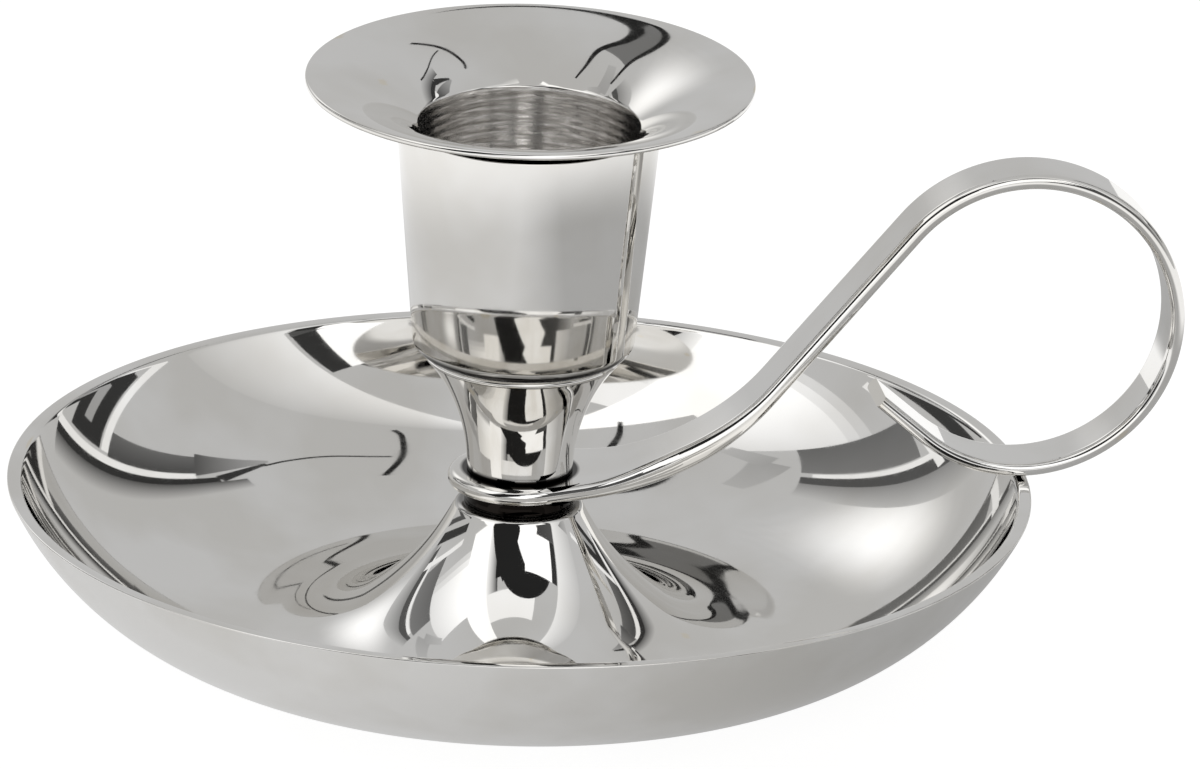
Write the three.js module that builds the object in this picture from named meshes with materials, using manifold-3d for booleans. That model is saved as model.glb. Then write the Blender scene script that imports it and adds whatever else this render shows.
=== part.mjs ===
// A chamberstick: a low candlestick with a dished drip pan, a looped strip handle
// and a candle nozzle that lifts out of its cup. Millimetres, +Z up. The pan stands
// on z = 0 and the handle points along +X.

import * as THREE from 'three';
import { mergeVertices } from 'three/addons/utils/BufferGeometryUtils.js';
import loadManifold from 'manifold-3d';

const radians = THREE.MathUtils.degToRad;

// Drip pan, spun from one sheet with its foot
const panRadius = 53.2;
const panHeight = 16.8;
const panSheet = 1.3;
const baseRingWidth = 1.6;
const footHeight = 15.25;
const footTopRadius = 6.7;
const footEdgeRound = 0.8;
const footFlareBend = 28;
const footFilletBend = 15.6;
const footBlendAngle = radians(35);

// Spacer and handle eye, clamped between the foot and the stem
const spacerRadius = 5.7;
const spacerHeight = 1.7;
const eyeRadius = 7.45;
const eyeThickness = 1.8;

// Handle strip
const stripWidth = 6.7;
const stripThickness = 1.75;
const swellThickness = 2.6;
const swellLength = 10;
const swellEase = 14;
const rootTaperReach = 14.5;
const riseBend = 26.5;
const riseAngle = radians(49.6);
const tailAngle = radians(41);
const tailLength = 6.3;
const restThickness = 1.5;
const rootMargin = 0.3;
const rimGap = 0.2;

// Stem
const stemRadius = 5.5;
const stemHeight = 13.05;
const ledgeRadius = 10.3;
const ledgeThickness = 0.7;
const ledgeStep = 0.2;

// Candle nozzle: a tapered sleeve under a bell-shaped drip collar
const candleMouth = 23;
const candleDepth = 17.5;
const socketTaper = radians(5.3);
const sleeveWall = 0.9;
const sleeveFloor = 1;
const collarRadius = 23.25;
const collarRise = 5;
const collarRimSlope = radians(8);
const collarSheet = 0.7;
const collarNeckDepth = 1;

// Cup that the nozzle drops into
const cupHeight = 25.3;
const cupWall = 0.95;
const cupCorner = 1.6;
const nozzleClearance = 0.4;
const collarSeatGap = 0.25;

// Tie bolt and its fittings
const boltRadius = 2;
const boltClearance = 0.25;
const boltTail = 1.6;
const boltHeadRadius = 3.8;
const boltHeadHeight = 2.4;
const slotWidth = 1;
const slotDepth = 1.1;
const washerRadius = 4.5;
const washerThickness = 0.8;
const lockWasherRadius = 3.8;
const lockWasherThickness = 0.9;
const lockWasherSplit = 0.9;
const nutAcrossFlats = 7;
const nutHeight = 3.2;
const threadGap = 0.05;

// Facets round a full turn
const turnSegments = 48;
const fastenerSegments = 24;

// Heights of the stack, from the table upwards
const boltHole = boltRadius + boltClearance;
const eyeBottom = footHeight + spacerHeight;
const eyeTop = eyeBottom + eyeThickness;
const stemTop = eyeTop + stemHeight;
const cupTop = stemTop + cupHeight;
const cupFloorTop = stemTop + cupWall;

// Socket radii, from the candle outwards
const mouthRadius = candleMouth / 2;
const neckRadius = mouthRadius + sleeveWall;
const cupInnerRadius = neckRadius + nozzleClearance;
const cupRimRadius = cupInnerRadius + cupWall;

// The collar's bell is one arc, steep at its mouth and nearly level at its rim, that rests over
// the cup's rim, which is cut to the same slope
const bellSpan = collarRadius - mouthRadius;
const bellMouthSlope = 2 * Math.atan2(collarRise, bellSpan) - collarRimSlope;
const bellBend = bellSpan / (Math.sin(bellMouthSlope) - Math.sin(collarRimSlope));
const bellReach = collarRadius + bellBend * Math.sin(collarRimSlope);
const bellUnderside = bellBend - collarSheet;
const bellRise = (radius) => Math.sqrt(bellUnderside ** 2 - (bellReach - radius) ** 2);
const cupRimDrop = bellRise(cupRimRadius) - bellRise(cupInnerRadius);
const bellCentre = cupTop + collarSeatGap - bellRise(cupRimRadius);
const collarTop = bellCentre + bellBend * Math.cos(collarRimSlope);
const mouthTop = collarTop - collarRise;
const neckBottom = mouthTop - collarNeckDepth;
const candleSeat = mouthTop - candleDepth;

const solids = await loadManifold();
solids.setup();

/** A point of a profile: distance from the axis, then height. */
function at(radius, height) {
  return new THREE.Vector2(radius, height);
}

/** Points along an arc; angles run from the outward direction towards the upward one. */
function arc(centre, bend, from, to, steps) {
  return Array.from({ length: steps + 1 }, (unused, step) => {
    const angle = from + ((to - from) * step) / steps;
    return at(centre.x + bend * Math.cos(angle), centre.y + bend * Math.sin(angle));
  });
}

/** Turns a profile about the Z axis. It closes on itself unless it begins on the axis. */
function revolve(profile, segments = turnSegments) {
  const points = profile.filter((point, i) => i === 0 || point.distanceTo(profile[i - 1]) > 1e-6);
  if (points[0].x > 0) points.push(points[0].clone());
  if (THREE.ShapeUtils.area(points) < 0) points.reverse();
  return new THREE.LatheGeometry(points, segments).rotateX(Math.PI / 2);
}

/** A flat ring with square edges. */
function ring(innerRadius, outerRadius, bottom, top, segments = turnSegments) {
  const corners = [at(innerRadius, bottom), at(outerRadius, bottom), at(outerRadius, top), at(innerRadius, top)];
  return revolve(corners, segments);
}

/** A plain round bar, used as a cutter. */
function bar(radius, bottom, top, segments = turnSegments) {
  return revolve([at(0, bottom), at(radius, bottom), at(radius, top), at(0, top)], segments);
}

/** Stands an outline up from one height to another. */
function plate(outline, bottom, top) {
  const shape = new THREE.Shape(outline);
  return new THREE.ExtrudeGeometry(shape, { depth: top - bottom, bevelEnabled: false }).translate(0, 0, bottom);
}

function toSolid(geometry) {
  const bare = geometry.clone();
  bare.deleteAttribute('normal');
  bare.deleteAttribute('uv');
  const welded = mergeVertices(bare, 1e-4);
  const mesh = new solids.Mesh({
    numProp: 3,
    vertProperties: new Float32Array(welded.attributes.position.array),
    triVerts: new Uint32Array(welded.index.array),
  });
  mesh.merge();
  return new solids.Manifold(mesh);
}

function toGeometry(solid) {
  const mesh = solid.getMesh();
  const geometry = new THREE.BufferGeometry();
  geometry.setAttribute('position', new THREE.BufferAttribute(mesh.vertProperties, mesh.numProp));
  geometry.setIndex(new THREE.BufferAttribute(mesh.triVerts, 1));
  geometry.computeVertexNormals();
  return geometry;
}

function silverPlate() {
  return new THREE.MeshStandardMaterial({ color: 0xd6d5d2, metalness: 1, roughness: 0.06 });
}

function turnedMetal() {
  return new THREE.MeshStandardMaterial({ color: 0xb9b4a8, metalness: 1, roughness: 0.32 });
}

function fastenerSteel() {
  return new THREE.MeshStandardMaterial({ color: 0xa3a4a5, metalness: 1, roughness: 0.4 });
}

function piece(name, geometry, material) {
  const mesh = new THREE.Mesh(geometry, material);
  mesh.name = name;
  return mesh;
}

/** Arcs of the pan's sheet. Every bend has one centre for its upper and its lower face. */
function panBends() {
  const blendHeight = panSheet + footFilletBend * (1 - Math.cos(footBlendAngle));
  const climb = (footHeight - footEdgeRound - blendHeight) / footFlareBend;
  const lean = (Math.cos(footBlendAngle) - climb) / (1 + footEdgeRound / footFlareBend);
  const topAngle = Math.acos(lean);
  const flareRun = footFlareBend * (Math.sin(topAngle) - Math.sin(footBlendAngle));
  const blendRadius = footTopRadius + flareRun;
  const floorRadius = blendRadius + footFilletBend * Math.sin(footBlendAngle);
  const wallRadius = floorRadius + baseRingWidth;
  const wallBend = ((panRadius - wallRadius) ** 2 + panHeight ** 2) / (2 * panHeight);
  return {
    topAngle,
    floorRadius,
    wallRadius,
    wallBend,
    flareCentre: at(footTopRadius + footFlareBend * Math.sin(topAngle),
      blendHeight + footFlareBend * Math.cos(footBlendAngle)),
    filletCentre: at(floorRadius, panSheet + footFilletBend),
    wallCentre: at(wallRadius, wallBend),
  };
}

const pan = panBends();

/** Radius of the pan's inner face at the level of its rim. */
const rimInnerRadius = pan.wallRadius
  + Math.sqrt((pan.wallBend - panSheet) ** 2 - (pan.wallBend - panHeight) ** 2);

/** Dished pan whose middle is drawn up into a hollow trumpet foot with a flat top. */
function dripPan() {
  const down = -Math.PI / 2;
  const edgeAngle = Math.PI / 2 - pan.topAngle;
  const edgeCentre = at(footTopRadius - footEdgeRound * Math.sin(pan.topAngle), footHeight - footEdgeRound);
  const hollowTop = footHeight - panSheet;
  const hollowBend = footFlareBend + panSheet;
  const hollowAngle = Math.acos((pan.flareCentre.y - hollowTop) / hollowBend);
  const innerRise = Math.acos((pan.wallBend - panHeight) / (pan.wallBend - panSheet));
  const outerRise = Math.acos((pan.wallBend - panHeight) / pan.wallBend);
  return revolve([
    at(boltHole, footHeight),
    ...arc(edgeCentre, footEdgeRound, Math.PI / 2, edgeAngle, 3),
    ...arc(pan.flareCentre, footFlareBend, down - pan.topAngle, down - footBlendAngle, 5),
    ...arc(pan.filletCentre, footFilletBend, down - footBlendAngle, down, 5),
    ...arc(pan.wallCentre, pan.wallBend - panSheet, down, down + innerRise, 8),
    ...arc(pan.wallCentre, pan.wallBend, down + outerRise, down, 8),
    ...arc(pan.filletCentre, footFilletBend + panSheet, down, down - footBlendAngle, 4),
    ...arc(pan.flareCentre, hollowBend, down - footBlendAngle, down - hollowAngle, 4),
    at(boltHole, hollowTop),
  ]);
}

/** Walks along a bent strip and notes where each step ends, which way it heads and how far it is. */
function followBends(start, bends) {
  const stations = [{ x: start.x, z: start.y, heading: 0, travelled: 0 }];
  for (const { length, turn = 0, steps = 1 } of bends) {
    const stepTurn = turn / steps;
    const stepLength = length / steps;
    const chord = turn === 0 ? stepLength : (2 * stepLength * Math.sin(stepTurn / 2)) / stepTurn;
    for (let step = 0; step < steps; step += 1) {
      const last = stations.at(-1);
      const direction = last.heading + stepTurn / 2;
      stations.push({
        x: last.x + chord * Math.cos(direction),
        z: last.z + chord * Math.sin(direction),
        heading: last.heading + stepTurn,
        travelled: last.travelled + stepLength,
      });
    }
  }
  return stations;
}

/** Side outline of the handle: level eye, rise, curl that comes to rest over the pan's rim, and tail. */
function handleOutline() {
  const rootReach = Math.max(stemRadius, spacerRadius) + rootMargin;
  const eyeBack = eyeRadius + 1;
  const rootHeight = eyeBottom + eyeThickness / 2;
  const rimReach = (panRadius + rimInnerRadius) / 2 - rootReach;
  const rimRise = panHeight + rimGap + restThickness / 2 - rootHeight;
  const slack = (1 - Math.cos(riseAngle)) / Math.cos(riseAngle);
  const curlBend = (Math.tan(riseAngle) * rimReach - rimRise - riseBend * slack) / (slack + 2);
  const riseRun = (riseBend + curlBend) * Math.sin(riseAngle);
  const straight = (rimReach - riseRun) / Math.cos(riseAngle);
  const curlAngle = riseAngle + Math.PI + tailAngle;
  const rootLength = eyeBack + rootReach;
  const stations = followBends(at(-eyeBack, rootHeight), [
    { length: rootLength },
    { length: riseBend * riseAngle, turn: riseAngle, steps: 8 },
    { length: straight },
    { length: curlBend * curlAngle, turn: -curlAngle, steps: 36 },
    { length: tailLength },
  ]);
  const swellTop = rootLength + swellLength;
  const swellEnd = swellTop + swellEase;
  const restStation = stations.at(-1).travelled - tailLength - curlBend * tailAngle;
  const taper = (stripThickness - restThickness) / (restStation - swellEnd);
  const ease = THREE.MathUtils.mapLinear;
  const halfThickness = ({ travelled }) => {
    if (travelled <= rootLength) return eyeThickness / 2;
    if (travelled <= swellTop) return ease(travelled, rootLength, swellTop, eyeThickness, swellThickness) / 2;
    if (travelled <= swellEnd) return ease(travelled, swellTop, swellEnd, swellThickness, stripThickness) / 2;
    return (stripThickness - taper * (travelled - swellEnd)) / 2;
  };
  const side = (sign) => stations.map((station) => {
    const offset = sign * halfThickness(station);
    return at(station.x - offset * Math.sin(station.heading), station.z + offset * Math.cos(station.heading));
  });
  return [...side(-1), ...side(1).reverse()];
}

/** Plan outline of the handle: the eye runs tangentially into the strip. */
function handlePlan(reach) {
  const halfWidth = stripWidth / 2;
  const apart = Math.hypot(rootTaperReach, halfWidth);
  const tangent = Math.atan2(halfWidth, rootTaperReach) + Math.acos(eyeRadius / apart);
  return [
    at(reach, -halfWidth),
    at(reach, halfWidth),
    at(rootTaperReach, halfWidth),
    ...arc(at(0, 0), eyeRadius, tangent, 2 * Math.PI - tangent, 24),
    at(rootTaperReach, -halfWidth),
  ];
}

const outlineOfHandle = handleOutline();
const handleReach = Math.max(...outlineOfHandle.map((point) => point.x));
const handleTop = Math.max(...outlineOfHandle.map((point) => point.y));

/** Strip handle: its side outline and its plan outline, cut against each other. */
function handle() {
  const halfSpan = eyeRadius + 1;
  const side = plate(outlineOfHandle, -halfSpan, halfSpan).rotateX(Math.PI / 2);
  const plan = plate(handlePlan(handleReach + 1), 0, handleTop + 1);
  const hole = bar(boltHole, eyeBottom - 1, eyeTop + 1);
  return toGeometry(toSolid(side).intersect(toSolid(plan)).subtract(toSolid(hole)));
}

/** Trumpet stem with a rounded ledge that carries the cup. */
function stem() {
  const neckTop = stemTop - ledgeThickness;
  const flare = ledgeRadius - ledgeStep - stemRadius;
  const rise = neckTop - eyeTop;
  const flareBend = (flare ** 2 + rise ** 2) / (2 * flare);
  const flareAngle = Math.asin(rise / flareBend);
  const edge = ledgeThickness / 2;
  return revolve([
    at(boltHole, eyeTop),
    ...arc(at(stemRadius + flareBend, eyeTop), flareBend, Math.PI, Math.PI - flareAngle, 8),
    ...arc(at(ledgeRadius - edge, neckTop + edge), edge, -Math.PI / 2, Math.PI / 2, 4),
    at(boltHole, stemTop),
  ]);
}

/** Tapered cup with a rounded bottom corner, a rim cut to the collar's slope and a floor that the bolt clamps. */
function candleCup() {
  const slope = Math.tan(socketTaper);
  const bottomRadius = cupRimRadius - cupHeight * slope;
  const corner = at(bottomRadius + cupCorner * slope - cupCorner / Math.cos(socketTaper), stemTop + cupCorner);
  return revolve([
    at(boltHole, stemTop),
    ...arc(corner, cupCorner, -Math.PI / 2, -socketTaper, 5),
    at(cupRimRadius, cupTop),
    at(cupRimRadius - cupWall / Math.cos(socketTaper) - cupRimDrop * slope, cupTop - cupRimDrop),
    ...arc(corner, cupCorner - cupWall, -socketTaper, -Math.PI / 2, 4),
    at(boltHole, cupFloorTop),
  ]);
}

/** Bell-shaped drip collar with a short neck that reaches into the cup. */
function dripCollar() {
  const centre = at(bellReach, bellCentre);
  const mouthAngle = Math.PI / 2 + bellMouthSlope;
  const rimAngle = Math.PI / 2 + collarRimSlope;
  const neckAngle = Math.PI - Math.acos((bellReach - neckRadius) / bellUnderside);
  const boreRadius = mouthRadius - collarNeckDepth * Math.tan(socketTaper);
  return revolve([
    at(boreRadius, neckBottom),
    ...arc(centre, bellBend, mouthAngle, rimAngle, 8),
    ...arc(centre, bellUnderside, rimAngle, neckAngle, 8),
    at(neckRadius, neckBottom),
  ]);
}

/** Tapered candle sleeve with a closed floor, brazed under the collar's neck. */
function nozzleSleeve() {
  const slope = Math.tan(socketTaper);
  const inner = (height) => mouthRadius - (mouthTop - height) * slope;
  const floorBottom = candleSeat - sleeveFloor;
  return revolve([
    at(0, floorBottom),
    at(inner(floorBottom) + sleeveWall, floorBottom),
    at(inner(neckBottom) + sleeveWall, neckBottom),
    at(inner(neckBottom), neckBottom),
    at(inner(candleSeat), candleSeat),
    at(0, candleSeat),
  ]);
}

// The bolt's stack inside the foot, from the pan's sheet downwards
const panWasherBottom = footHeight - panSheet - washerThickness;
const lockWasherBottom = panWasherBottom - lockWasherThickness;
const nutBottom = lockWasherBottom - nutHeight;
const headBottom = cupFloorTop + washerThickness;

/** Slotted bolt that draws cup, stem, handle, spacer and pan together. */
function tieBolt() {
  const headTop = headBottom + boltHeadHeight;
  const round = boltHeadHeight / 3;
  const chamfer = boltRadius / 4;
  const body = revolve([
    at(0, nutBottom - boltTail),
    at(boltRadius - chamfer, nutBottom - boltTail),
    at(boltRadius, nutBottom - boltTail + chamfer),
    at(boltRadius, headBottom),
    at(boltHeadRadius, headBottom),
    ...arc(at(boltHeadRadius - round, headTop - round), round, 0, Math.PI / 2, 3),
    at(0, headTop),
  ], fastenerSegments);
  const slot = new THREE.BoxGeometry(3 * boltHeadRadius, slotWidth, 2 * slotDepth).translate(0, 0, headTop);
  return toGeometry(toSolid(body).subtract(toSolid(slot)));
}

/** Spring washer, split across one side. */
function lockWasher() {
  const innerRadius = boltHole;
  const outerSplit = Math.asin(lockWasherSplit / 2 / lockWasherRadius);
  const innerSplit = Math.asin(lockWasherSplit / 2 / innerRadius);
  const turn = 2 * Math.PI;
  const outline = [
    ...arc(at(0, 0), lockWasherRadius, outerSplit, turn - outerSplit, fastenerSegments),
    ...arc(at(0, 0), innerRadius, turn - innerSplit, innerSplit, fastenerSegments),
  ];
  return plate(outline, lockWasherBottom, panWasherBottom);
}

/** Hexagon nut with its corners chamfered at both ends. */
function hexNut() {
  const cornerRadius = nutAcrossFlats / Math.sqrt(3);
  const chamfer = cornerRadius - nutAcrossFlats / 2;
  const hexagon = plate(arc(at(0, 0), cornerRadius, 0, (5 * Math.PI) / 3, 5), nutBottom, lockWasherBottom);
  const chamfered = revolve([
    at(0, nutBottom),
    at(cornerRadius - chamfer, nutBottom),
    at(cornerRadius, nutBottom + chamfer / 2),
    at(cornerRadius, lockWasherBottom - chamfer / 2),
    at(cornerRadius - chamfer, lockWasherBottom),
    at(0, lockWasherBottom),
  ], fastenerSegments);
  const thread = bar(boltRadius + threadGap, nutBottom - 1, lockWasherBottom + 1, fastenerSegments);
  return toGeometry(toSolid(hexagon).intersect(toSolid(chamfered)).subtract(toSolid(thread)));
}

const stand = new THREE.Group();
stand.add(
  piece('drip_pan', dripPan(), silverPlate()),
  piece('foot_spacer', ring(boltHole, spacerRadius, footHeight, eyeBottom), silverPlate()),
  piece('handle', handle(), silverPlate()),
  piece('stem', stem(), silverPlate()),
  piece('candle_cup', candleCup(), silverPlate()),
  piece('tie_bolt', tieBolt(), fastenerSteel()),
  piece('head_washer', ring(boltHole, washerRadius, cupFloorTop, headBottom), fastenerSteel()),
  piece('pan_washer', ring(boltHole, washerRadius, panWasherBottom, footHeight - panSheet), fastenerSteel()),
  piece('lock_washer', lockWasher(), fastenerSteel()),
  piece('hex_nut', hexNut(), fastenerSteel()),
);

const nozzle = new THREE.Group();
nozzle.add(
  piece('drip_collar', dripCollar(), silverPlate()),
  piece('nozzle_sleeve', nozzleSleeve(), turnedMetal()),
);

// The origin lies under the middle of the whole outline, pan and handle together
const chamberstick = new THREE.Group();
chamberstick.add(stand, nozzle);
chamberstick.position.x = (panRadius - handleReach) / 2;

export default chamberstick;
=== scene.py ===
"""A chamberstick in polished silver plate: drip pan, looped strip handle, stem, cup and lift-out nozzle."""

import logging
import math
from dataclasses import dataclass
from enum import Enum
from functools import partial

import bmesh
import bpy
from mathutils import Matrix, Vector
from mathutils.geometry import interpolate_bezier


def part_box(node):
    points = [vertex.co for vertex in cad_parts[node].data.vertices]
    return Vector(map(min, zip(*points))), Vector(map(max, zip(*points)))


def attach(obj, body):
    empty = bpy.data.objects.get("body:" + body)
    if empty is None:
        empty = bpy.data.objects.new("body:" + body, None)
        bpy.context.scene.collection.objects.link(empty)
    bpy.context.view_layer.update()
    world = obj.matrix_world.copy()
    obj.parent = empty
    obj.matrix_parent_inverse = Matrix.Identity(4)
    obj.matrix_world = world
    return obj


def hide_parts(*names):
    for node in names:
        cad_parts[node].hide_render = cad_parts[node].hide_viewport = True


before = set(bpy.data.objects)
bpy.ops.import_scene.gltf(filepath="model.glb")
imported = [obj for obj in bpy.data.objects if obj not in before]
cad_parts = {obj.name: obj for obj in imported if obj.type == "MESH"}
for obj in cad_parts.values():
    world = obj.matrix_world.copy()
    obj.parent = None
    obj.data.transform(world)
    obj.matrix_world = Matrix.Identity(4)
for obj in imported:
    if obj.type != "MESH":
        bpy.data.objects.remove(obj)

MM = 0.001
LOG = logging.getLogger("chamberstick")
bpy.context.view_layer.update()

# Points that lie nearer than this are one point, in metres
SAME_PLACE = 1e-7
# Length of one wave of the wave texture at a scale of 1
WAVE_LENGTH = 2 * math.pi / 20
WHITE = (1.0, 1.0, 1.0, 1.0)

# Sizes that several pieces share, in millimetres and radians
BOLT_HOLE = 2.25
SOCKET_TAPER = math.radians(5.3)

Tree = bpy.types.NodeTree
Socket = bpy.types.NodeSocket
Finish = bpy.types.Material
Shape = bmesh.types.BMesh
Corner = bmesh.types.BMVert
Span = tuple[float, float]
# What feeds a socket: another node's output, a number, or a colour or place
Feed = Socket | float | tuple


class Body(Enum):
    """The two rigid bodies of the object."""

    STAND = "stand"
    NOZZLE = "nozzle"


class Slot(Enum):
    """The record's material slots of the dressed pieces."""

    PLATE = "silver_plate"
    TURNED = "turned_metal"


def stem_axis() -> float:
    """Gives the stem's place along X, in metres."""
    low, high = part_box("stem")
    return (low.x + high.x) / 2


def linear(code: str) -> tuple[float, float, float, float]:
    """Turns an sRGB hex colour into linear light, by the standard's own curve.

    Args:
        code: The colour, such as "#c0c0c0".

    Returns:
        Red, green, blue and an alpha of 1.
    """
    parts = [int(code[i:i + 2], 16) / 255 for i in (1, 3, 5)]
    light = [c / 12.92 if c <= 0.04045 else ((c + 0.055) / 1.055) ** 2.4 for c in parts]
    return (*light, 1.0)


def add_node(tree: Tree, kind: str, *places: Feed, settings: dict[str, str] | None = None,
             **inputs: Feed) -> bpy.types.Node:
    """Adds a node, sets it and feeds its sockets.

    Args:
        tree: The node tree to add to.
        kind: The node's type name.
        *places: Values or output sockets for the first sockets, in order.
        settings: Properties of the node itself.
        **inputs: The same for other sockets, by name with "_" for a space, or by place as "i6".

    Returns:
        The new node.
    """
    node = tree.nodes.new(kind)
    for name, value in (settings or {}).items():
        setattr(node, name, value)
    for name, value in [*enumerate(places), *inputs.items()]:
        if isinstance(name, str):
            name = int(name[1:]) if name[0] == "i" and name[1:].isdigit() else name.replace("_", " ")
        if isinstance(value, Socket):
            tree.links.new(value, node.inputs[name])
        else:
            node.inputs[name].default_value = value
    return node


def blank_material(name: str) -> tuple[Finish, Tree]:
    """Makes a material with an empty node tree.

    Args:
        name: The finish's own name.

    Returns:
        The material and its tree.
    """
    material = bpy.data.materials.new(name)
    material.use_nodes = True
    material.node_tree.nodes.clear()
    return material, material.node_tree


def about_axis(tree: Tree, place: Socket, axis: float) -> tuple[bpy.types.Node, Socket]:
    """Measures a place on the surface from the stem's axis.

    Args:
        tree: The node tree to add to.
        place: The place in the frame.
        axis: The stem's place along X, in metres.

    Returns:
        A node with the place's X, Y and Z as seen from the axis, and the distance from the axis.
    """
    add = partial(add_node, tree)
    about = add("ShaderNodeMapping", place, (-axis, 0.0, 0.0))
    split = add("ShaderNodeSeparateXYZ", about.outputs[0])
    flat = add("ShaderNodeCombineXYZ", split.outputs["X"], split.outputs["Y"])
    out = add("ShaderNodeVectorMath", flat.outputs[0], settings={"operation": "LENGTH"})
    return split, out.outputs["Value"]


def set_up(name: str, mesh: Shape, *finishes: Finish) -> bpy.types.Object:
    """Puts a shape into the scene.

    Args:
        name: The object's name.
        mesh: The shape, which is used up.
        *finishes: The materials, in the order of the faces' material numbers.

    Returns:
        The object.
    """
    data = bpy.data.meshes.new(name)
    mesh.to_mesh(data)
    mesh.free()
    for finish in finishes:
        data.materials.append(finish)
    item = bpy.data.objects.new(name, data)
    bpy.context.scene.collection.objects.link(item)
    return item


@dataclass(frozen=True)
class Recess:
    """A groove round the stem where shade is painted into the colour: its radius, height and spread, in
    millimetres.
    """

    radius: float
    height: float
    spread: float


@dataclass(frozen=True)
class SilverPlate:
    """Silver plate over spun and cast brass, buffed to a mirror.

    Buffing leaves a clear, nearly white reflection with a trace of warmth, drawn a little out of true by the
    hand-held wheel. Edges that are often wiped let the warmer brass through, and the polish is duller in
    patches. In the recesses a dark line of shade is painted into the colour.
    """

    name: str = "buffed silver plate"
    bright: str = "#ebeae8"
    dull: str = "#e1dfdb"
    worn: str = "#e4dac4"
    # Painted shade: the dark colour laid into the recesses
    recess_shade: str = "#1f1c1a"
    roughness: Span = (0.022, 0.05)
    # Grooves where shade is painted, and the share of each spread that is fully dark
    recesses: tuple[Recess, ...] = (Recess(11.3, 32.2, 0.95), Recess(5.6, 18.8, 0.7), Recess(5.9, 16.1, 1.5))
    shade_core: float = 0.45
    patch_mm: float = 16.0
    patch_range: Span = (0.4, 0.62)
    wipe_mm: float = 1.6
    wipe_grain: float = 0.65
    wipe_range: Span = (0.35, 0.7)
    edge_range: Span = (0.53, 0.62)
    edge_wear: float = 0.55
    ripple_mm: float = 11.0
    ripple_depth_mm: float = 0.2
    ripple_strength: float = 0.02

    def painted_shade(self, tree: Tree, place: Socket, axis: float) -> Socket:
        """Finds the share of painted shade from the distance to the nearest recess.

        Args:
            tree: The node tree to add to.
            place: The place on the surface.
            axis: The stem's place along X, in metres.

        Returns:
            The share, 1 in a recess and 0 away from it.
        """
        # Painted shade: full dark near each groove, fading out over its spread
        add = partial(add_node, tree)
        split, out = about_axis(tree, place, axis)
        section = add("ShaderNodeCombineXYZ", X=out, Z=split.outputs["Z"])
        share: Feed = 0.0
        for recess in self.recesses:
            groove = (recess.radius * MM, 0.0, recess.height * MM)
            spread = recess.spread * MM
            gap = add("ShaderNodeVectorMath", section.outputs[0], groove,
                      settings={"operation": "DISTANCE"})
            near = add("ShaderNodeMapRange", gap.outputs["Value"], self.shade_core * spread, spread,
                       1.0, 0.0)
            most = add("ShaderNodeMath", near.outputs[0], share, settings={"operation": "MAXIMUM"})
            share = most.outputs[0]
        return share

    def material(self, axis: float) -> Finish:
        """Builds the finish.

        Args:
            axis: The stem's place along X, in metres.

        Returns:
            The material.
        """
        material, tree = blank_material(self.name)
        add = partial(add_node, tree)
        place = add("ShaderNodeTexCoord").outputs["Object"]
        patches = add("ShaderNodeTexNoise", Vector=place, Scale=1 / (self.patch_mm * MM), Detail=3.0)
        # Wiping marks are far finer than a pixel, so they are drawn at wipe_mm to show at all
        marks = add("ShaderNodeTexNoise", Vector=place, Scale=1 / (self.wipe_mm * MM), Detail=4.0,
                    Roughness=self.wipe_grain)
        ripple = add("ShaderNodeTexNoise", Vector=place, Scale=1 / (self.ripple_mm * MM), Detail=1.0)
        shape = add("ShaderNodeNewGeometry")
        wear = add("ShaderNodeMapRange", shape.outputs["Pointiness"], *self.edge_range, 0.0, self.edge_wear)
        dulled = add("ShaderNodeMapRange", patches.outputs[0], *self.patch_range, 0.0, 1.0)
        gloss = add("ShaderNodeMapRange", marks.outputs[0], *self.wipe_range, *self.roughness)
        colour: Feed = linear(self.bright)
        # Dull patches and worn edges are the plate's own colour; the last mix paints shade into the recesses
        for share, over in ((dulled.outputs[0], self.dull), (wear.outputs[0], self.worn),
                            (self.painted_shade(tree, place, axis), self.recess_shade)):
            mix = add("ShaderNodeMix", share, settings={"data_type": "RGBA"}, i6=colour, i7=linear(over))
            colour = mix.outputs[2]
        level = add("ShaderNodeBump", Strength=self.ripple_strength, Distance=self.ripple_depth_mm * MM,
                    Height=ripple.outputs[0])
        shader = add("ShaderNodeBsdfPrincipled", Base_Color=colour, Metallic=1.0, Roughness=gloss.outputs[0],
                     Normal=level.outputs[0])
        add("ShaderNodeOutputMaterial", shader.outputs[0])
        return material


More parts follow.
